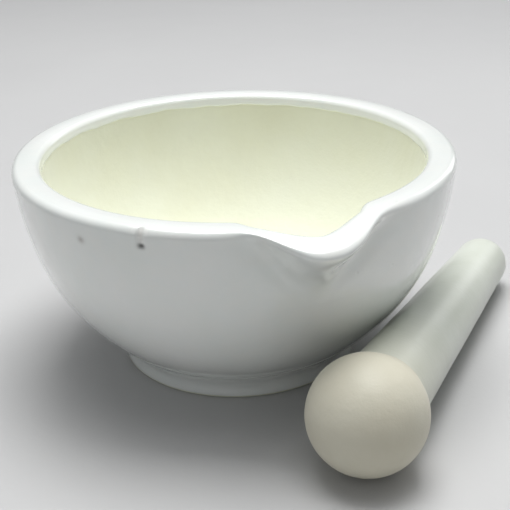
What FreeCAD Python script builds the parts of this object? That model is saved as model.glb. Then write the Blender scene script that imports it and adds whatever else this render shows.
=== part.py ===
"""Mortar and pestle, two pieces of fired porcelain.

The mortar is a thick round bowl on a low foot ring, with a pouring lip that
points along -Y. The pestle lies beside it on the same surface, its ball end
near the lip. The origin is on the mortar's axis, in the plane that its foot
stands on, and +Z is up. All sizes are millimetres, and the wall's two curves
bring the rim to 150 mm across.
"""
import FreeCAD, Part
import math
import os

import Sketcher

V = FreeCAD.Vector

DIMENSIONS = [
    # the mortar's outside
    ("bowl_height", 74.4, "height of the rim above the foot's face"),
    ("lower_wall_radius", 69.3, "curve of the wall below its join"),
    ("lower_wall_offset", 3.7, "centre of that curve from the axis"),
    ("lower_wall_centre", 65.0, "height of that centre"),
    ("upper_wall_radius", 127.0, "flatter curve of the wall above its join"),
    ("wall_join", 46.4, "height where the two curves meet"),
    ("foot_radius", 42.0, "outer radius of the foot ring"),
    ("foot_height", 6.2, "height of the foot ring at its neck"),
    ("foot_ring_width", 8.0, "width of the face that the mortar stands on"),
    ("foot_recess", 2.5, "depth of the hollow inside the foot ring"),
    ("foot_round", 1.2, "rounding of the foot ring's edges"),
    # the mortar's inside
    ("cavity_radius", 65.0, "radius of the round grinding bowl"),
    ("floor_thickness", 11.0, "bottom of the cavity above the foot's face"),
    ("rim_round", 2.4, "rounding of the rim's two edges"),
    ("root_round", 7.0, "hollow where the lip's sides leave the wall"),
    # the pestle
    ("head_radius", 18.7, "radius of the pestle's ball end"),
    ("handle_radius", 14.1, "radius of the handle where its taper starts"),
    ("handle_end_radius", 10.0, "radius of the handle's rounded end"),
    ("pestle_reach", 134.2, "from the ball's centre to the end's centre"),
    ("neck_round", 1.2, "hollow where the handle meets the ball"),
    # where the pestle lies
    ("pestle_x", 9.1, "the ball's centre along X"),
    ("pestle_y", -91.1, "the ball's centre along Y"),
    ("pestle_heading", 45.4, "turn of the handle about +Z from +X, in degrees"),
]

# Level sections of the pouring lip, from the bottom up. Each is a nose with
# two straight sides and a round tip: height, tip from the axis, radius of the
# tip, base from the axis and half the width of the base.
LIP_SECTIONS = [
    ("lip_low", 38.0, 62.5, 11.0, 50.0, 18.0),
    ("lip_middle", 60.0, 81.5, 13.0, 58.0, 27.0),
    ("lip_top", 74.4, 89.0, 13.0, 62.0, 33.0),
]
CHANNEL_SECTIONS = [
    ("channel_low", 46.0, 55.5, 8.0, 44.0, 12.0),
    ("channel_middle", 62.0, 72.5, 7.0, 50.0, 21.0),
    ("channel_top", 76.4, 81.0, 6.0, 56.0, 26.0),
]
SECTION_FIELDS = ("height", "tip", "tip_radius", "base", "half_base")

doc = FreeCAD.newDocument("MortarAndPestle")
sheet = doc.addObject("Spreadsheet::Sheet", "Dimensions")


def fill_sheet():
    """Write every driving size to the sheet, one row each, with its alias."""
    rows = list(DIMENSIONS)
    for name, *values in LIP_SECTIONS + CHANNEL_SECTIONS:
        rows += [(f"{name}_{field}", value, f"{name}: {field}")
                 for field, value in zip(SECTION_FIELDS, values)]
    for row, (alias, value, note) in enumerate(rows, start=1):
        sheet.set(f"A{row}", note)
        sheet.set(f"B{row}", str(value))
        sheet.setAlias(f"B{row}", alias)
    doc.recompute()


def size(alias):
    return float(sheet.get(alias))


def new_body(name, label):
    body = doc.addObject("PartDesign::Body", name)
    body.Label = label
    return body


def new_sketch(body, name, role, height=None):
    """A sketch on one of the body's own origin planes, raised by a size."""
    plane = next(f for f in body.Origin.OriginFeatures if f.Role == role)
    sketch = body.newObject("Sketcher::SketchObject", name)
    sketch.AttachmentSupport = [(plane, "")]
    sketch.MapMode = "FlatFace"
    if height:
        sketch.setExpression(".AttachmentOffset.Base.z", f"Dimensions.{height}")
    return sketch


def constrain(sketch, kind, *where, to=None):
    """Add a constraint, and bind it to a size of the sheet if one is named."""
    if to is None:
        return sketch.addConstraint(Sketcher.Constraint(kind, *where))
    index = sketch.addConstraint(Sketcher.Constraint(kind, *where, size(to)))
    sketch.setExpression(f"Constraints[{index}]", f"Dimensions.{to}")
    return index


def add_line(sketch, start, end):
    return sketch.addGeometry(Part.LineSegment(V(*start, 0), V(*end, 0)), False)


def add_arc(sketch, centre, radius, first, last):
    """An arc that runs anticlockwise from angle first to angle last."""
    circle = Part.Circle(V(*centre, 0), V(0, 0, 1), radius)
    return sketch.addGeometry(Part.ArcOfCircle(circle, first, last), False)


def angle_to(centre, point):
    return math.atan2(point[1] - centre[1], point[0] - centre[0])


START, END, CENTRE = 1, 2, 3
ORIGIN = (-1, 1)
AXIS_H, AXIS_V = -1, -2


def wall_geometry():
    """Centres and ends of the wall's two arcs, from the sheet's sizes."""
    low_centre = (size("lower_wall_offset"), size("lower_wall_centre"))
    low_r, up_r = size("lower_wall_radius"), size("upper_wall_radius")

    def on_low(z):
        return (low_centre[0] + math.sqrt(low_r ** 2 - (z - low_centre[1]) ** 2), z)

    neck = on_low(size("foot_height"))
    join = on_low(size("wall_join"))
    out = ((join[0] - low_centre[0]) / low_r, (join[1] - low_centre[1]) / low_r)
    up_centre = (join[0] - up_r * out[0], join[1] - up_r * out[1])
    rise = size("bowl_height") - up_centre[1]
    rim = (up_centre[0] + math.sqrt(up_r ** 2 - rise ** 2), size("bowl_height"))
    return low_centre, up_centre, neck, join, rim


def mortar_outside(body):
    """The solid of revolution: foot ring, curved wall, flat top."""
    sketch = new_sketch(body, "OutsideProfile", "XZ_Plane")
    low_centre, up_centre, neck, join, rim = wall_geometry()
    foot, recess = size("foot_radius"), size("foot_recess")
    hollow = foot - size("foot_ring_width")

    ceiling = add_line(sketch, (0, recess), (hollow, recess))
    step = add_line(sketch, (hollow, recess), (hollow, 0))
    face = add_line(sketch, (hollow, 0), (foot, 0))
    flank = add_line(sketch, (foot, 0), neck)
    lower = add_arc(sketch, low_centre, size("lower_wall_radius"),
                    angle_to(low_centre, neck), angle_to(low_centre, join))
    upper = add_arc(sketch, up_centre, size("upper_wall_radius"),
                    angle_to(up_centre, join), angle_to(up_centre, rim))
    top = add_line(sketch, rim, (0, rim[1]))
    axis = add_line(sketch, (0, rim[1]), (0, recess))

    outline = [ceiling, step, face, flank, lower, upper, top, axis]
    for here, following in zip(outline, outline[1:] + outline[:1]):
        kind = "Tangent" if (here, following) == (lower, upper) else "Coincident"
        constrain(sketch, kind, here, END, following, START)
    for line in (ceiling, face, top):
        constrain(sketch, "Horizontal", line)
    for line in (step, axis):
        constrain(sketch, "Vertical", line)
    constrain(sketch, "PointOnObject", ceiling, START, AXIS_V)
    constrain(sketch, "PointOnObject", face, START, AXIS_H)
    constrain(sketch, "DistanceY", *ORIGIN, ceiling, START, to="foot_recess")
    constrain(sketch, "DistanceX", face, START, face, END, to="foot_ring_width")
    constrain(sketch, "DistanceX", *ORIGIN, face, END, to="foot_radius")
    constrain(sketch, "DistanceY", *ORIGIN, flank, END, to="foot_height")
    constrain(sketch, "DistanceX", *ORIGIN, lower, CENTRE, to="lower_wall_offset")
    constrain(sketch, "DistanceY", *ORIGIN, lower, CENTRE, to="lower_wall_centre")
    constrain(sketch, "Radius", lower, to="lower_wall_radius")
    constrain(sketch, "DistanceY", *ORIGIN, upper, START, to="wall_join")
    constrain(sketch, "Radius", upper, to="upper_wall_radius")
    constrain(sketch, "DistanceY", *ORIGIN, top, START, to="bowl_height")
    return turn(body, "PartDesign::Revolution", "OutsideTurned", sketch)


def turn(body, kind, name, sketch):
    """Turn a profile once about the axis, to add it or to cut it away."""
    feature = body.newObject(kind, name)
    feature.Profile = sketch
    feature.ReferenceAxis = (sketch, ["V_Axis"])
    feature.Angle = 360.0
    doc.recompute()
    return feature


def nose_section(body, name):
    """One level section: a base line, two sides and a round tip to -Y."""
    sketch = new_sketch(body, name.title().replace("_", ""), "XY_Plane",
                        height=f"{name}_height")
    tip, radius = size(f"{name}_tip"), size(f"{name}_tip_radius")
    base, half = size(f"{name}_base"), size(f"{name}_half_base")
    centre = (0, radius - tip)
    reach = math.hypot(half, centre[1] + base)
    lean = angle_to(centre, (half, -base)) - math.acos(radius / reach)
    touch = (radius * math.cos(lean), centre[1] + radius * math.sin(lean))

    back = add_line(sketch, (half, -base), (-half, -base))
    left = add_line(sketch, (-half, -base), (-touch[0], touch[1]))
    nose = add_arc(sketch, centre, radius, math.pi - lean, lean + 2 * math.pi)
    right = add_line(sketch, touch, (half, -base))

    constrain(sketch, "Coincident", back, END, left, START)
    constrain(sketch, "Tangent", left, END, nose, START)
    constrain(sketch, "Tangent", nose, END, right, START)
    constrain(sketch, "Coincident", right, END, back, START)
    constrain(sketch, "Symmetric", back, START, back, END, AXIS_V)
    constrain(sketch, "PointOnObject", nose, CENTRE, AXIS_V)
    constrain(sketch, "Radius", nose, to=f"{name}_tip_radius")
    width = constrain(sketch, "DistanceX", back, END, back, START, 2 * half)
    sketch.setExpression(f"Constraints[{width}]", f"2 * Dimensions.{name}_half_base")
    constrain(sketch, "DistanceY", back, START, *ORIGIN, to=f"{name}_base")
    depth = constrain(sketch, "DistanceY", nose, CENTRE, *ORIGIN, tip - radius)
    sketch.setExpression(f"Constraints[{depth}]",
                         f"Dimensions.{name}_tip - Dimensions.{name}_tip_radius")
    return sketch


def loft(body, kind, name, sections):
    sketches = [nose_section(body, section[0]) for section in sections]
    doc.recompute()
    feature = body.newObject(kind, name)
    feature.Profile = sketches[0]
    feature.Sections = sketches[1:]
    doc.recompute()
    return feature


def mortar_cavity(body):
    """The round grinding bowl, cut from the solid and open at the top."""
    sketch = new_sketch(body, "CavityProfile", "XZ_Plane")
    radius, bottom = size("cavity_radius"), size("floor_thickness")
    centre = (0, bottom + radius)

    bowl = add_arc(sketch, centre, radius, -math.pi / 2, 0)
    mouth = add_line(sketch, (radius, centre[1]), centre)
    axis = add_line(sketch, centre, (0, bottom))

    constrain(sketch, "Coincident", bowl, END, mouth, START)
    constrain(sketch, "Coincident", mouth, END, axis, START)
    constrain(sketch, "Coincident", axis, END, bowl, START)
    constrain(sketch, "PointOnObject", bowl, START, AXIS_V)
    constrain(sketch, "Coincident", bowl, CENTRE, mouth, END)
    constrain(sketch, "Horizontal", mouth)
    constrain(sketch, "Vertical", axis)
    constrain(sketch, "Radius", bowl, to="cavity_radius")
    constrain(sketch, "DistanceY", *ORIGIN, bowl, START, to="floor_thickness")
    return turn(body, "PartDesign::Groove", "Cavity", sketch)


def round_edges(body, name, base, wanted, alias):
    """Fillet every edge of a feature that wanted() picks out."""
    edges = [f"Edge{number}" for number, edge in enumerate(base.Shape.Edges, start=1)
             if wanted(edge)]
    feature = body.newObject("PartDesign::Fillet", name)
    feature.Base = (base, edges)
    feature.setExpression("Radius", f"Dimensions.{alias}")
    doc.recompute()
    return feature


def is_level_at(height):
    """Picks the edges that lie in one level plane."""
    def wanted(edge):
        box = edge.BoundBox
        return abs(box.ZMin - height) < 0.01 and abs(box.ZMax - height) < 0.01
    return wanted


def is_lip_root(edge):
    """Picks the two hollow edges where the lip's outside meets the wall.

    They climb steeply, stand further out than the cavity will, and lie one
    on each side of the lip's middle plane.
    """
    middle = edge.valueAt((edge.FirstParameter + edge.LastParameter) / 2)
    outside = math.hypot(middle.x, middle.y) > size("cavity_radius")
    in_front = middle.y < -size("foot_radius")
    beside = abs(middle.x) > size("lip_top_tip_radius") / 2
    climbs = edge.BoundBox.ZLength > size("foot_ring_width")
    return outside and in_front and beside and climbs


def build_mortar():
    body = new_body("Mortar", "mortar")
    mortar_outside(body)
    lip = loft(body, "PartDesign::AdditiveLoft", "Lip", LIP_SECTIONS)
    round_edges(body, "LipRoot", lip, is_lip_root, "root_round")
    mortar_cavity(body)
    channel = loft(body, "PartDesign::SubtractiveLoft", "Channel", CHANNEL_SECTIONS)
    rim = round_edges(body, "RimRound", channel,
                      is_level_at(size("bowl_height")), "rim_round")
    round_edges(body, "FootRound", rim, is_level_at(0), "foot_round")
    return body


def build_pestle():
    """Turned about its own X axis: a ball, a tapered handle, a round end."""
    body = new_body("Pestle", "pestle")
    sketch = new_sketch(body, "PestleProfile", "XZ_Plane")
    head, end_r = size("head_radius"), size("handle_end_radius")
    neck, reach = size("handle_radius"), size("pestle_reach")
    hollow = size("neck_round")
    end = (reach, 0)

    # the side is a straight taper that is tangent to the rounded end
    junction_x = math.sqrt(head ** 2 - neck ** 2)
    gap = math.hypot(reach - junction_x, neck)
    steep = (math.asin(end_r / gap) - math.atan2(neck, reach - junction_x))
    across = (-math.sin(steep), math.cos(steep))
    touch = (reach + end_r * across[0], end_r * across[1])

    # the hollow at the neck touches the ball and the taper, outside both
    def taper_offset(x):
        along = (x - touch[0]) / math.cos(steep)
        return touch[1] + along * math.sin(steep) + hollow / math.cos(steep)

    low, high = 0.0, head + hollow
    for _ in range(60):
        middle = (low + high) / 2
        inside = math.hypot(middle, taper_offset(middle)) < head + hollow
        low, high = (middle, high) if inside else (low, middle)
    root = (low, taper_offset(low))
    root_to_ball = angle_to(root, (0, 0))
    root_to_taper = math.atan2(-across[1], -across[0])
    ball_join = (head * math.cos(angle_to((0, 0), root)),
                 head * math.sin(angle_to((0, 0), root)))
    taper_join = (root[0] - hollow * across[0], root[1] - hollow * across[1])

    ball = add_arc(sketch, (0, 0), head, angle_to((0, 0), ball_join), math.pi)
    fillet = add_arc(sketch, root, hollow, root_to_ball, root_to_taper)
    side = add_line(sketch, taper_join, touch)
    tip = add_arc(sketch, end, end_r, 0, angle_to(end, touch))
    axis = add_line(sketch, (reach + end_r, 0), (-head, 0))

    constrain(sketch, "Coincident", ball, CENTRE, *ORIGIN)
    constrain(sketch, "PointOnObject", ball, END, AXIS_H)
    constrain(sketch, "Tangent", ball, START, fillet, START)
    constrain(sketch, "Tangent", fillet, END, side, START)
    constrain(sketch, "Tangent", side, END, tip, END)
    constrain(sketch, "PointOnObject", tip, CENTRE, AXIS_H)
    constrain(sketch, "Coincident", tip, START, axis, START)
    constrain(sketch, "Coincident", axis, END, ball, END)
    constrain(sketch, "PointOnObject", tip, START, AXIS_H)
    constrain(sketch, "Radius", ball, to="head_radius")
    constrain(sketch, "Radius", fillet, to="neck_round")
    constrain(sketch, "Radius", tip, to="handle_end_radius")
    constrain(sketch, "DistanceX", *ORIGIN, tip, CENTRE, to="pestle_reach")
    constrain(sketch, "DistanceY", *ORIGIN, side, START, to="handle_radius")

    feature = body.newObject("PartDesign::Revolution", "PestleTurned")
    feature.Profile = sketch
    feature.ReferenceAxis = (sketch, ["H_Axis"])
    feature.Angle = 360.0
    doc.recompute()

    # it lies on its ball and its handle's end, so the handle dips a little
    dip = math.degrees(math.asin((head - end_r) / reach))
    heading = FreeCAD.Rotation(V(0, 0, 1), size("pestle_heading"))
    body.Placement = FreeCAD.Placement(V(size("pestle_x"), size("pestle_y"), head),
                                       heading * FreeCAD.Rotation(V(0, 1, 0), dip))
    return body


def check_document():
    """Stop on anything that failed to build, before a file is written."""
    doc.recompute()
    for item in doc.Objects:
        if {"Invalid", "Error"} & set(item.State):
            raise RuntimeError(f"{item.Name} failed: {item.State}")


def write(body):
    shape = body.Shape
    if shape.isNull() or not shape.isValid() or len(shape.Solids) != 1:
        raise RuntimeError(f"{body.Label} is not one valid solid")
    shape.exportStep(f"parts/{body.Label}.step")
    box = shape.BoundBox
    print(body.Label, "volume", round(shape.Volume / 1000, 1), "cm3, box",
          [round(value, 1) for value in (box.XMin, box.YMin, box.ZMin,
                                         box.XMax, box.YMax, box.ZMax)])


fill_sheet()
bodies = [build_mortar(), build_pestle()]
check_document()
os.makedirs("parts", exist_ok=True)
for body in bodies:
    write(body)
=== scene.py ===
"""The finished look of the mortar and pestle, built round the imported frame.

Both pieces are meshes worked out by formula: a profile turned about an axis,
then pushed out of round where the real piece is. Lengths are metres, and the
angle round the mortar's axis is 0 at the pouring lip and grows towards +X.
"""

import math

import bpy
import numpy as np
from mathutils import Euler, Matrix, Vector, noise


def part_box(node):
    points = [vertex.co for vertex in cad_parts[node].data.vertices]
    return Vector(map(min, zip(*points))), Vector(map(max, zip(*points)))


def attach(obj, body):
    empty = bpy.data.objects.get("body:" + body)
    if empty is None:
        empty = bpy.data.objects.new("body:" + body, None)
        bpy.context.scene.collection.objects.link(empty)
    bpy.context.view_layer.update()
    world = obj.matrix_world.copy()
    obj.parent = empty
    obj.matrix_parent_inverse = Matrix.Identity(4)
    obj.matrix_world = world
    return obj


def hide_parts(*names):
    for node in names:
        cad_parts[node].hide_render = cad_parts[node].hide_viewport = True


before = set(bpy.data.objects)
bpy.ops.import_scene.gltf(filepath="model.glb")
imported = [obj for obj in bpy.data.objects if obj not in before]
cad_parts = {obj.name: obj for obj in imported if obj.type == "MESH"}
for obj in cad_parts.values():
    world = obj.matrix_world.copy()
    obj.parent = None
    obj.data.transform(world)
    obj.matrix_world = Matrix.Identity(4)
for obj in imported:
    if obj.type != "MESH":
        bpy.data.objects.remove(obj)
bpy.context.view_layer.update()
MM = 0.001

# ------------------------------------------------------------------ the mortar
MORTAR_LOW, MORTAR_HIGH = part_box("mortar")
RIM_Z = MORTAR_HIGH.z
RIM_RADIUS = MORTAR_HIGH.y
RIM_OUTER_ROUND = 2.6 * MM
RIM_INNER_ROUND = 2.2 * MM
RIM_CROWN = 0.12 * MM
# the wall's outside is two arcs: radius, centre from the axis, centre's height
LOWER_WALL = (69.3 * MM, 3.7 * MM, 65.0 * MM)
UPPER_WALL = (127.0 * MM, -51.9 * MM, 80.4 * MM)
WALL_JOIN = 46.4 * MM
OVAL = 1.1 * MM
OVAL_TURN = math.radians(63)

CAVITY_RADIUS = 65.0 * MM
CAVITY_CENTRE_Z = 76.0 * MM

FOOT_RADIUS = 42.0 * MM
FOOT_INSIDE = 34.0 * MM
FOOT_RECESS = 2.5 * MM
FOOT_ROUND = 0.9 * MM
FOOT_FLANK_TOP = (41.4 * MM, 3.4 * MM)
FOOT_NECK = (40.9 * MM, 6.0 * MM)
WALL_START = 9.2 * MM

# the pouring lip: a keel under it that widens upwards, and a groove beside it
LIP_REACH = -MORTAR_LOW.y - RIM_RADIUS - 0.6 * MM
LIP_ROOT_Z = 47.0 * MM
LIP_HALF_ANGLE = math.radians(10.8)
LIP_ROOT_WIDTH = 0.15
LIP_SKEW = 0.24
SKEW_ANGLES = (math.radians(-4), math.radians(10))
LIP_FLARE_TOP = 0.93
LIP_GROOVE = 5.2 * MM
GROOVE_PLACE = 1.1
GROOVE_WIDTH = 0.7

# how far the lip sags: its outer edge, and less where the channel runs out
LIP_DROOP = 4.1 * MM
CHANNEL_DROOP = 0.9 * MM
DROOP_HALF_ANGLE = math.radians(10.5)
DROOP_FADE = 9 * MM

# the channel inside the lip
CHANNEL_REACH = 13.4 * MM
CHANNEL_ROOT_Z = 49.0 * MM
CHANNEL_HALF_ANGLE = math.radians(12.9)
CHANNEL_ROOT_WIDTH = 0.45
CHANNEL_SIDES = (math.radians(13.5), math.radians(20.0))

# where glaze ends below the inner rim, and its slightly thicker, wavy edge
GLAZE_EDGE = 1.6 * MM
GLAZE_THICKNESS = 0.08 * MM
GLAZE_BEAD = 0.6
EDGE_WAVE = ((0.45 * MM, 9 * MM), (0.2 * MM, 3 * MM))
EDGE_REACH = 2.5 * MM

# the chip in the rim's outer edge, the pit under it, and a faint spot
CHIP_ANGLE = math.radians(-40.4)
NOTCH_DEPTH = 0.8 * MM
RAGGED_DEPTH = 0.28 * MM
PIT_DEPTH = 0.5 * MM
SPECK_ANGLE = math.radians(-57.1)
SPECK_BELOW = 7.4 * MM
# the parts of the way over the rim, from outside, where chips fade out
CHIP_FADE = (0.05, 0.3)

# swells of the mortar's surface as height and width, from this high upwards
MORTAR_SWELLS = ((0.16 * MM, 34 * MM), (0.03 * MM, 13 * MM))
SWELL_TOP = 20 * MM
SWELL_CORE = 5 * MM

COLUMNS = 440


def smooth(low, high, value):
    """0 below low, 1 above high, and a smooth step between."""
    t = np.clip((value - low) / (high - low), 0, 1)
    return t * t * (3 - 2 * t)


def bell(value, centre, width, power=2.0):
    """A bump of height 1 at centre that falls away on each side."""
    return np.exp(-(np.abs(value - centre) / width) ** power)


def arc(radius, centre_r, centre_z, start, end, steps):
    """Points of a profile along an arc, its first point left out."""
    angles = np.radians(np.linspace(start, end, steps + 1)[1:])
    return [(centre_r + radius * math.cos(a), centre_z + radius * math.sin(a))
            for a in angles]


def line(start, end, steps):
    """Points of a profile along a straight run, its first point left out."""
    return [tuple(np.array(start) + (np.array(end) - start) * i / steps)
            for i in range(1, steps + 1)]


def bend(start, corner, end, steps):
    """Points of a profile round a soft corner, its first point left out."""
    points = []
    for i in range(1, steps + 1):
        t = i / steps
        points.append(tuple((1 - t) ** 2 * np.array(start)
                            + 2 * t * (1 - t) * np.array(corner)
                            + t ** 2 * np.array(end)))
    return points


def wall_radius(z):
    """Outside radius of the bowl at height z, away from the lip."""
    radius, centre_r, centre_z = LOWER_WALL if z < WALL_JOIN else UPPER_WALL
    return centre_r + math.sqrt(radius ** 2 - (z - centre_z) ** 2)


def skewed(theta):
    """The angle from the lip, shrunk on its wider side, towards +X."""
    return theta / (1 + LIP_SKEW * smooth(*SKEW_ANGLES, theta))


def lip_outside(theta, z):
    """How far the lip pushes the wall out, less the groove along each side."""
    away = skewed(theta)
    rise = np.clip((z - LIP_ROOT_Z) / (RIM_Z - LIP_ROOT_Z), 0, 1)
    width = LIP_HALF_ANGLE * (LIP_ROOT_WIDTH + (1 - LIP_ROOT_WIDTH) * rise ** 0.9)
    flare = np.clip(rise / LIP_FLARE_TOP, 0, 1)
    keel = flare ** 3 * (4 - 3 * flare) * bell(away, 0, width, 2.6)
    place, spread = GROOVE_PLACE * width, GROOVE_WIDTH * width
    beside = bell(away, place, spread) + bell(away, -place, spread)
    groove = rise ** 1.2 * (1 - rise ** 4) * beside
    return LIP_REACH * keel - LIP_GROOVE * groove


def lip_inside(theta, z):
    """How far the channel hollows the cavity's wall towards the lip."""
    rise = np.clip((z - CHANNEL_ROOT_Z) / (RIM_Z - CHANNEL_ROOT_Z), 0, 1)
    width = CHANNEL_HALF_ANGLE * (CHANNEL_ROOT_WIDTH + (1 - CHANNEL_ROOT_WIDTH) * rise)
    sides = 1 - smooth(*CHANNEL_SIDES, np.abs(theta))
    return CHANNEL_REACH * rise ** 1.3 * bell(theta, 0, width, 1.45) * sides


def lip_droop(theta, z, inward):
    """How far the lip sags, where inward is 0 outside and 1 in the channel."""
    near_rim = np.exp(-(RIM_Z - z) / DROOP_FADE) * (z > LIP_ROOT_Z)
    depth = CHANNEL_DROOP * inward + LIP_DROOP * (1 - inward)
    return depth * near_rim * bell(skewed(theta), 0, DROOP_HALF_ANGLE, 2.4)


def wobble(points, pitch, seed):
    """Smooth noise at each point, its bumps about pitch across."""
    shift = Vector((7.3 * seed, 3.1 * seed, 5.7 * seed))
    return np.array([noise.noise(Vector(p) / pitch + shift) for p in points])


def swell(points, swells, first_seed):
    """Layers of smooth noise at each point, each a height and a width."""
    return sum(height * wobble(points, pitch, seed)
               for seed, (height, pitch) in enumerate(swells, start=first_seed))


def spread_columns():
    """Angles round the mortar, closer together at the lip and the chip."""
    fine = np.linspace(-math.pi, math.pi, 8001)
    middle = (fine[1:] + fine[:-1]) / 2
    dense = (1 + 1.6 * bell(middle, 0, math.radians(20))
             + 4 * bell(middle, CHIP_ANGLE, math.radians(1.6))
             + 1.5 * bell(middle, SPECK_ANGLE, math.radians(1.5)))
    total = np.concatenate([[0], np.cumsum(dense)])
    return np.interp(np.linspace(0, total[-1], COLUMNS + 1)[:-1], total, fine)


def foot_profile():
    """The foot from its middle outwards, then up to where the wall starts.

    The second value is how many of the points lie on its bare underside.
    """
    under = line((0, FOOT_RECESS), (FOOT_INSIDE - FOOT_ROUND, FOOT_RECESS), 9)
    under += arc(FOOT_ROUND, FOOT_INSIDE - FOOT_ROUND, FOOT_RECESS - FOOT_ROUND,
                 90, 0, 4)
    under += arc(FOOT_ROUND, FOOT_INSIDE + FOOT_ROUND, FOOT_ROUND, 180, 270, 5)
    under += line(under[-1], (FOOT_RADIUS - FOOT_ROUND, 0), 5)
    flank = arc(FOOT_ROUND, FOOT_RADIUS - FOOT_ROUND, FOOT_ROUND, -90, 0, 5)
    bare = len(under) + len(flank)
    flank += line(flank[-1], FOOT_FLANK_TOP, 4)
    flank += bend(flank[-1], FOOT_NECK, (wall_radius(WALL_START), WALL_START), 12)
    return under + flank, bare


def wall_profile():
    """The wall's outside, its points closer together near the rim."""
    way = np.linspace(0, 1, 85)[1:]
    top = RIM_Z - RIM_OUTER_ROUND
    heights = WALL_START + (top - WALL_START) * (1.35 * way - 0.35 * way ** 2)
    return [(wall_radius(z), z) for z in heights]


def rim_profile():
    """The rim's outer round, its slightly crowned top and its inner round."""
    outer_z = RIM_Z - RIM_OUTER_ROUND
    inner_r = CAVITY_RADIUS + RIM_INNER_ROUND
    outer_r = wall_radius(outer_z) - RIM_OUTER_ROUND
    rim = arc(RIM_OUTER_ROUND, outer_r, outer_z, 0, 90, 12)
    steps = 7
    land = line(rim[-1], (inner_r, RIM_Z), steps)
    rim += [(r, z + RIM_CROWN * math.sin(math.pi * i / steps))
            for i, (r, z) in enumerate(land, start=1)]
    return rim + arc(RIM_INNER_ROUND, inner_r, RIM_Z - RIM_INNER_ROUND, 90, 180, 9)


# angle of the cavity's sphere at which its wall starts, under the inner round
CAVITY_START = math.asin((RIM_Z - RIM_INNER_ROUND - CAVITY_CENTRE_Z) / CAVITY_RADIUS)


def cavity_depths():
    """Distances down the cavity's wall, closer together at the glaze's edge."""
    near = list(np.array([0.5, 1.0, 1.3, 1.5, 1.6, 1.68, 1.8, 2.1, 2.7, 3.6, 4.8]) * MM)
    depth = CAVITY_RADIUS * (CAVITY_START + math.pi / 2)
    return near + list(np.linspace(near[-1], depth, 64)[1:-1])


def cavity_ring(down, edge_wave):
    """Radius and height round the cavity, down its wall, with its glaze's edge."""
    wave = edge_wave * bell(down, GLAZE_EDGE, EDGE_REACH)
    down = down + wave
    angle = CAVITY_START - down / CAVITY_RADIUS
    past = down - GLAZE_EDGE - wave
    glazed = 1 - smooth(-0.12 * MM, 0.05 * MM, past)
    bead = GLAZE_BEAD * bell(past, -0.25 * MM, 0.3 * MM)
    radius = CAVITY_RADIUS * np.cos(angle) - GLAZE_THICKNESS * (glazed + bead)
    return radius, CAVITY_CENTRE_Z + CAVITY_RADIUS * np.sin(angle)


def chip_shape(theta, z):
    """Share of its full depth of the rim's chip, ragged edge and pit below."""
    around = (theta - CHIP_ANGLE) * RIM_RADIUS
    notch = bell(around, 0, 1.0 * MM, 3) * smooth(RIM_Z - 5.2 * MM, RIM_Z - 3.6 * MM, z)
    ragged = 0.5 * bell(around, 1.9 * MM, 0.9 * MM) + 0.3 * bell(around, -2.2 * MM, 1.2 * MM)
    edge = ragged * smooth(RIM_Z - 2.6 * MM, RIM_Z - 1.2 * MM, z)
    pit = bell(around, 0.2 * MM, 1.15 * MM, 2.5) * bell(z, RIM_Z - 5.5 * MM, 0.8 * MM, 2.5)
    return notch, edge, pit


def speck_shape(theta, z):
    """Strength of the faint spot on the glaze, to the left of the chip."""
    around = (theta - SPECK_ANGLE) * RIM_RADIUS
    return bell(around, 0, 1.3 * MM) * bell(z, RIM_Z - SPECK_BELOW, 1.1 * MM)


def mortar_rows(theta):
    """Radius, height and way over the rim, 0 to 1, of each ring of the mortar.

    They run from the foot's middle up the outside and down the inside. The
    second value is the set of bands of faces that are bare of glaze.
    """
    foot, bare_foot = foot_profile()
    outside = foot + wall_profile()
    rim = rim_profile()
    outer_radius = wall_radius(RIM_Z - RIM_OUTER_ROUND)
    plain = [(r, z, 0.0) for r, z in outside]
    plain += [(r, z, (outer_radius - r) / (outer_radius - CAVITY_RADIUS)) for r, z in rim]
    rows = [(np.full(COLUMNS, r), np.full(COLUMNS, z), way) for r, z, way in plain]

    ring = np.stack([np.sin(theta), -np.cos(theta), 0 * theta], axis=1) * RIM_RADIUS
    edge_wave = swell(ring, EDGE_WAVE, 1)
    depths = cavity_depths()
    rows += [(*cavity_ring(down, edge_wave), 1.0) for down in depths]
    glazed_inside = sum(1 for down in depths if down < GLAZE_EDGE)
    bare_inside = len(plain) + glazed_inside + 1
    bare = set(range(bare_foot)) | set(range(bare_inside, len(rows) + 1))
    return rows, bare


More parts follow.
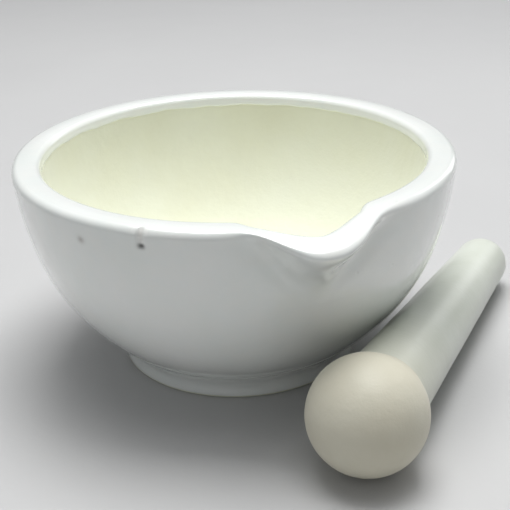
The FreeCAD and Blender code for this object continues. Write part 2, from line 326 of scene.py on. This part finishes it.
def build_mortar():
    """The mortar's mesh, and the set of its bands that are bare of glaze."""
    theta = spread_columns()
    rows, bare = mortar_rows(theta)
    oval = OVAL * np.cos(2 * (theta - OVAL_TURN))
    rings = []
    marks = {"chip": [], "pit": [], "speck": []}
    for radius, height, inward in rows:
        push = ((1 - inward) * lip_outside(theta, height)
                + inward * lip_inside(theta, height))
        notch, edge, pit = chip_shape(theta, height)
        outside = 1 - smooth(*CHIP_FADE, inward)
        chip = outside * (NOTCH_DEPTH * notch + RAGGED_DEPTH * edge + PIT_DEPTH * pit)
        stretch = oval * (height / RIM_Z) * radius / RIM_RADIUS
        radius = radius + push + stretch - chip
        drop = lip_droop(theta, height, inward)
        rings.append(np.stack([radius * np.sin(theta), -radius * np.cos(theta),
                               height - drop], axis=1))
        marks["chip"].append(np.clip(outside * (notch + edge), 0, 1))
        marks["pit"].append(outside * pit)
        marks["speck"].append(outside * speck_shape(theta, height))

    flat = np.concatenate(rings)
    lean = np.linalg.norm(flat[:, :2], axis=1)
    out = swell(flat, MORTAR_SWELLS, 3) * smooth(0, SWELL_TOP, flat[:, 2])
    flat[:, :2] *= (1 + out / np.maximum(lean, SWELL_CORE))[:, None]
    poles = ((0, 0, FOOT_RECESS), (0, 0, CAVITY_CENTRE_Z - CAVITY_RADIUS))
    piece = turned_mesh("porcelain_mortar", flat.reshape(len(rows), COLUMNS, 3), poles)
    for name, values in marks.items():
        paint(piece, name, [0, *np.concatenate(values), 0])
    return piece, bare


def turned_mesh(name, rings, poles):
    """A closed mesh from rings of points, with a single point at each end.

    The faces go round ring by ring, from the first pole to the last.
    """
    rows, count = len(rings), len(rings[0])
    verts = [poles[0]] + [tuple(p) for ring in rings for p in ring] + [poles[1]]
    last = len(verts) - 1
    following = [(j + 1) % count for j in range(count)]
    faces = [(0, 1 + k, 1 + j) for j, k in enumerate(following)]
    for i in range(rows - 1):
        a, b = 1 + i * count, 1 + (i + 1) * count
        faces += [(a + j, a + k, b + k, b + j) for j, k in enumerate(following)]
    a = 1 + (rows - 1) * count
    faces += [(a + j, a + k, last) for j, k in enumerate(following)]
    mesh = bpy.data.meshes.new(name)
    mesh.from_pydata(verts, [], faces)
    mesh.update()
    mesh.shade_smooth()
    return in_scene(bpy.data.objects.new(name, mesh))


def in_scene(thing):
    """The same object, linked to the scene."""
    bpy.context.scene.collection.objects.link(thing)
    return thing


def paint(piece, name, values):
    """Store one number for each vertex, for a material to read."""
    layer = piece.data.attributes.new(name, "FLOAT", "POINT")
    layer.data.foreach_set("value", np.asarray(values, dtype=np.float32))


def clothe(piece, first, second, second_bands, count):
    """Give a turned piece its two materials, band by band."""
    piece.data.materials.append(first)
    piece.data.materials.append(second)
    index = [1 if i // count in second_bands else 0
             for i in range(len(piece.data.polygons))]
    piece.data.polygons.foreach_set("material_index", index)


# ------------------------------------------------------------------ the pestle
PESTLE_LOW, PESTLE_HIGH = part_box("pestle")
HEAD_RADIUS = PESTLE_HIGH.z / 2
HANDLE_RADIUS = 14.1 * MM
HANDLE_END_RADIUS = 10.0 * MM
PESTLE_COLUMNS = 160
HEAD_CENTRE = Vector((PESTLE_LOW.x + HEAD_RADIUS, PESTLE_LOW.y + HEAD_RADIUS, HEAD_RADIUS))
END_CENTRE = Vector((PESTLE_HIGH.x - HANDLE_END_RADIUS,
                     PESTLE_HIGH.y - HANDLE_END_RADIUS, HANDLE_END_RADIUS))
PESTLE_SWELLS = ((0.09 * MM, 24 * MM), (0.03 * MM, 7 * MM))


def pestle_profile(reach):
    """Radius and place along the axis, from the ball's centre to the handle's end.

    The second value is how many of the points belong to the ball and its neck.
    """
    taper = math.asin((HANDLE_RADIUS - HANDLE_END_RADIUS) / reach)
    crease = math.asin((HANDLE_RADIUS + 0.5 * MM) / HEAD_RADIUS)
    ball = [(HEAD_RADIUS * math.sin(a), -HEAD_RADIUS * math.cos(a))
            for a in np.linspace(0, math.pi - crease, 58)[1:]]
    crease_at = ball[-1][1]
    join = (HANDLE_RADIUS - 0.15 * MM, crease_at + 2.4 * MM)
    neck = bend(ball[-1], (HANDLE_RADIUS + 0.05 * MM, crease_at + 0.5 * MM), join, 7)
    end = [(HANDLE_END_RADIUS * math.cos(a), reach + HANDLE_END_RADIUS * math.sin(a))
           for a in np.linspace(taper, math.pi / 2, 22)[:-1]]
    handle = line(join, end[0], 70)
    return ball + neck + handle + end[1:], len(ball) + len(neck)


def build_pestle():
    """The pestle's mesh, and the set of its bands that are glazed."""
    span = END_CENTRE - HEAD_CENTRE
    axis = span.normalized()
    side = axis.cross(Vector((0, 0, 1))).normalized()
    over = side.cross(axis)
    profile, ball_rings = pestle_profile(span.length)
    turn = np.linspace(0, 2 * math.pi, PESTLE_COLUMNS + 1)[:-1]
    flat = np.array([HEAD_CENTRE + axis * along
                     + (side * math.cos(t) + over * math.sin(t)) * radius
                     for radius, along in profile for t in turn])
    centre_line = np.array(HEAD_CENTRE) + np.outer(
        (flat - np.array(HEAD_CENTRE)) @ np.array(axis), np.array(axis))
    out = flat - centre_line
    out /= np.linalg.norm(out, axis=1)[:, None]
    flat += out * swell(flat, PESTLE_SWELLS, 6)[:, None]
    flat[:, 2] = np.maximum(flat[:, 2], 0)
    poles = (tuple(HEAD_CENTRE - axis * HEAD_RADIUS),
             tuple(END_CENTRE + axis * HANDLE_END_RADIUS))
    rings = flat.reshape(len(profile), PESTLE_COLUMNS, 3)
    piece = turned_mesh("porcelain_pestle", rings, poles)
    paint(piece, "along", [(v.co - HEAD_CENTRE).dot(axis) for v in piece.data.vertices])
    return piece, set(range(ball_rings - 1, len(profile) + 2))


# ------------------------------------------------------------------- materials
class Shader:
    """A node material with a Principled shader, and short ways to wire it."""

    def __init__(self, name, **sockets):
        self.material = bpy.data.materials.new(name)
        self.material.use_nodes = True
        self.tree = self.material.node_tree
        self.surface = self.tree.nodes["Principled BSDF"]
        for socket, value in sockets.items():
            self.surface.inputs[socket.replace("_", " ")].default_value = value
        self.place = self.node("ShaderNodeTexCoord").outputs["Object"]

    def node(self, kind, inputs=None, **settings):
        """A new node whose inputs are linked or set, as each value asks."""
        made = self.tree.nodes.new(kind)
        for key, value in settings.items():
            setattr(made, key, value)
        for key, value in (inputs or {}).items():
            if isinstance(value, bpy.types.NodeSocket):
                self.tree.links.new(value, made.inputs[key])
            else:
                made.inputs[key].default_value = value
        return made

    def noise(self, size, low=0.0, high=1.0, detail=3.0, spread=(0.3, 0.7)):
        """Noise with features about size across, stretched to low..high."""
        made = self.node("ShaderNodeTexNoise", {"Vector": self.place,
                         "Scale": 1 / size, "Detail": detail, "Roughness": 0.55})
        return self.remap(made.outputs["Fac"], *spread, low, high)

    def remap(self, value, from_low, from_high, low, high):
        """The value, stretched from one range to another."""
        return self.node("ShaderNodeMapRange", {
            "Value": value, "From Min": from_low, "From Max": from_high,
            "To Min": low, "To Max": high}).outputs["Result"]

    def specks(self, size, share):
        """1 in small round dots, one in some cells of a grid about size wide."""
        cells = self.node("ShaderNodeTexVoronoi", {"Vector": self.place,
                          "Scale": 1 / size})
        dot = self.remap(cells.outputs["Distance"], 0.05, 0.1, 1.0, 0.0)
        chosen = self.node("ShaderNodeSeparateColor", {"Color": cells.outputs["Color"]})
        kept = self.remap(chosen.outputs["Red"], share, share - 0.02, 0.0, 1.0)
        return self.math("MULTIPLY", dot, kept)

    def math(self, operation, first, second):
        """The result of one sum on two values."""
        return self.node("ShaderNodeMath", {0: first, 1: second},
                         operation=operation).outputs[0]

    def mix(self, factor, first, second):
        """A colour between two others, each a socket or three numbers."""
        made = self.node("ShaderNodeMix", {"Factor": factor}, data_type="RGBA")
        for socket, value in (("A", first), ("B", second)):
            target = next(s for s in made.inputs if s.name == socket and s.type == "RGBA")
            if isinstance(value, bpy.types.NodeSocket):
                self.tree.links.new(value, target)
            else:
                target.default_value = (*value, 1)
        return next(s for s in made.outputs if s.type == "RGBA")

    def painted(self, name):
        """A number that was stored for each vertex."""
        return self.node("ShaderNodeAttribute", attribute_name=name).outputs["Fac"]

    def bump(self, height, distance, below=None):
        """A normal with relief of this depth, laid over another normal."""
        inputs = {"Height": height, "Distance": distance, "Strength": 1.0}
        if below is not None:
            inputs["Normal"] = below
        return self.node("ShaderNodeBump", inputs).outputs["Normal"]

    def finish(self, colour, roughness, normal):
        """The material, with its colour, roughness and normal wired up."""
        self.tree.links.new(colour, self.surface.inputs["Base Color"])
        self.tree.links.new(roughness, self.surface.inputs["Roughness"])
        self.tree.links.new(normal, self.surface.inputs["Normal"])
        return self.material


def mortar_glaze():
    """Glossy white glaze, faintly wavy, with specks, a chip and a near-black pit under it.
    """
    shader = Shader("white_glaze", IOR=1.52, Coat_Weight=1.0, Coat_Roughness=0.06,
                    Coat_IOR=1.5)
    tone = shader.mix(shader.noise(28 * MM), (0.83, 0.87, 0.84), (0.88, 0.90, 0.88))
    tone = shader.mix(shader.noise(6 * MM, 0, 0.35), tone, (0.89, 0.89, 0.84))
    tone = shader.mix(shader.math("MULTIPLY", shader.specks(13 * MM, 0.03), 0.35),
                      tone, (0.22, 0.17, 0.12))
    tone = shader.mix(shader.painted("speck"), tone, (0.50, 0.49, 0.46))
    tone = shader.mix(shader.painted("chip"), tone, (0.90, 0.90, 0.86))
    tone = shader.mix(shader.painted("pit"), tone, (0.06, 0.055, 0.05))
    smear = shader.noise(20 * MM, 0.10, 0.24, detail=5)
    rough = shader.math("ADD", smear, shader.remap(shader.painted("chip"), 0, 1, 0, 0.5))
    wave = shader.bump(shader.noise(16 * MM, detail=1), 0.06 * MM)
    peel = shader.bump(shader.noise(2.2 * MM, detail=2), 0.012 * MM, wave)
    holes = shader.bump(shader.specks(7 * MM, 0.25), -0.08 * MM, peel)
    return shader.finish(tone, rough, holes)


def bare_porcelain(name, pale, warm, stain):
    """Unglazed body: matte, finely grained, mottled and a little stained."""
    shader = Shader(name, IOR=1.5, Sheen_Weight=0.12, Sheen_Roughness=0.6)
    tone = shader.mix(shader.noise(24 * MM, detail=4), pale, warm)
    tone = shader.mix(shader.noise(1.6 * MM, 0, 0.3, detail=4), tone, pale)
    tone = shader.mix(shader.noise(45 * MM, 0, 0.35, detail=6, spread=(0.5, 0.75)),
                      tone, stain)
    tone = shader.mix(shader.math("MULTIPLY", shader.specks(8 * MM, 0.03), 0.3),
                      tone, (0.33, 0.27, 0.18))
    rough = shader.noise(12 * MM, 0.52, 0.72, detail=5)
    grain = shader.bump(shader.noise(0.9 * MM, detail=5), 0.03 * MM)
    low = shader.bump(shader.noise(8 * MM, detail=2), 0.12 * MM, grain)
    return shader.finish(tone, rough, low)


def handle_glaze():
    """Thin satin glaze on the handle, with long faint marks from turning."""
    shader = Shader("satin_glaze", IOR=1.5, Coat_Weight=0.25, Coat_Roughness=0.22)
    along = shader.painted("along")
    tone = shader.mix(shader.noise(20 * MM, detail=4), (0.62, 0.65, 0.57),
                      (0.68, 0.71, 0.64))
    near_ball = shader.remap(along, 12 * MM, 50 * MM, 0.5, 0.0)
    tone = shader.mix(near_ball, tone, (0.64, 0.63, 0.51))
    rough = shader.noise(15 * MM, 0.3, 0.46, detail=5)
    rings = shader.node("ShaderNodeTexNoise", {"W": along, "Scale": 900.0, "Detail": 2.0},
                        noise_dimensions="1D").outputs["Fac"]
    turned = shader.bump(rings, 0.02 * MM)
    skin = shader.bump(shader.noise(4 * MM, detail=3), 0.03 * MM, turned)
    return shader.finish(tone, rough, skin)


# ---------------------------------------------------------- stage, light, view
FLOOR_HALF = 12.0


def build_stage():
    """A wide pale floor under the object."""
    mesh = bpy.data.meshes.new("floor")
    corners = [(-1, -1), (1, -1), (1, 1), (-1, 1)]
    mesh.from_pydata([(FLOOR_HALF * x, FLOOR_HALF * y, 0) for x, y in corners], [],
                     [(0, 1, 2, 3)])
    floor = in_scene(bpy.data.objects.new("floor", mesh))
    shader = Shader("pale_floor")
    tone = shader.mix(shader.noise(0.3), (0.52, 0.52, 0.52), (0.54, 0.54, 0.537))
    rough = shader.noise(50 * MM, 0.55, 0.65)
    grain = shader.bump(shader.noise(2 * MM), 0.02 * MM)
    mesh.materials.append(shader.finish(tone, rough, grain))


def add_panel(name, place, aim, width, height, power):
    """A rectangular soft light at place, turned to face aim."""
    data = bpy.data.lights.new(name, "AREA")
    data.shape = "RECTANGLE"
    data.size, data.size_y = width, height
    data.energy = power
    panel = in_scene(bpy.data.objects.new(name, data))
    panel.location = place
    panel.rotation_euler = (Vector(aim) - Vector(place)).to_track_quat("-Z", "Y").to_euler()


def add_ceiling(strength, spread, lean):
    """Soft light from the whole ceiling, leaning by two angles in degrees."""
    data = bpy.data.lights.new("ceiling", "SUN")
    data.energy = strength
    data.angle = math.radians(spread)
    ceiling = in_scene(bpy.data.objects.new("ceiling", data))
    ceiling.rotation_euler = (math.radians(lean[0]), math.radians(lean[1]), 0)


def add_room(colour, strength):
    """Even light from all round."""
    world = bpy.data.worlds.new("studio")
    world.use_nodes = True
    background = world.node_tree.nodes["Background"]
    background.inputs["Color"].default_value = (*colour, 1)
    background.inputs["Strength"].default_value = strength
    bpy.context.scene.world = world


def build_lights():
    """A soft studio: one panel overhead, two faint ones beside, and the room."""
    aim = (0, 0, 0.04)
    add_panel("overhead", (0.08, 0.16, 0.85), aim, 0.5, 0.5, 6.0)
    add_panel("left_window", (-0.75, -0.35, 0.45), aim, 0.35, 0.5, 0.25)
    add_panel("right_edge", (0.75, 0.45, 0.4), aim, 0.25, 0.6, 0.5)
    add_ceiling(1.1, 50, (-10, 6))
    add_room((0.9, 0.92, 0.95), 0.28)


CAMERA_PLACE = (-0.11117, -0.34214, 0.19823)
CAMERA_TURN = (65.415, 1.469, -19.679)
CAMERA_LENS = 77.65


def build_camera():
    """The camera, looking down at the lip from the left of it."""
    data = bpy.data.cameras.new("camera")
    data.sensor_width = 36
    data.lens = CAMERA_LENS
    data.clip_start = 0.01
    camera = in_scene(bpy.data.objects.new("camera", data))
    camera.location = CAMERA_PLACE
    camera.rotation_euler = Euler([math.radians(a) for a in CAMERA_TURN])
    bpy.context.scene.camera = camera


# plain tones, so that white glaze stays white
bpy.context.scene.view_settings.view_transform = "Standard"
build_camera()
build_stage()
build_lights()

biscuit = bare_porcelain("bare_cavity", (0.81, 0.825, 0.70), (0.79, 0.80, 0.655),
                         (0.73, 0.73, 0.57))
mortar, bare_bands = build_mortar()
clothe(mortar, mortar_glaze(), biscuit, bare_bands, COLUMNS)
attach(mortar, "mortar")
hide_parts("mortar")

pestle, glazed_bands = build_pestle()
head = bare_porcelain("bare_head", (0.68, 0.655, 0.535), (0.65, 0.615, 0.49),
                      (0.57, 0.53, 0.41))
clothe(pestle, head, handle_glaze(), glazed_bands, PESTLE_COLUMNS)
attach(pestle, "pestle")
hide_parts("pestle")
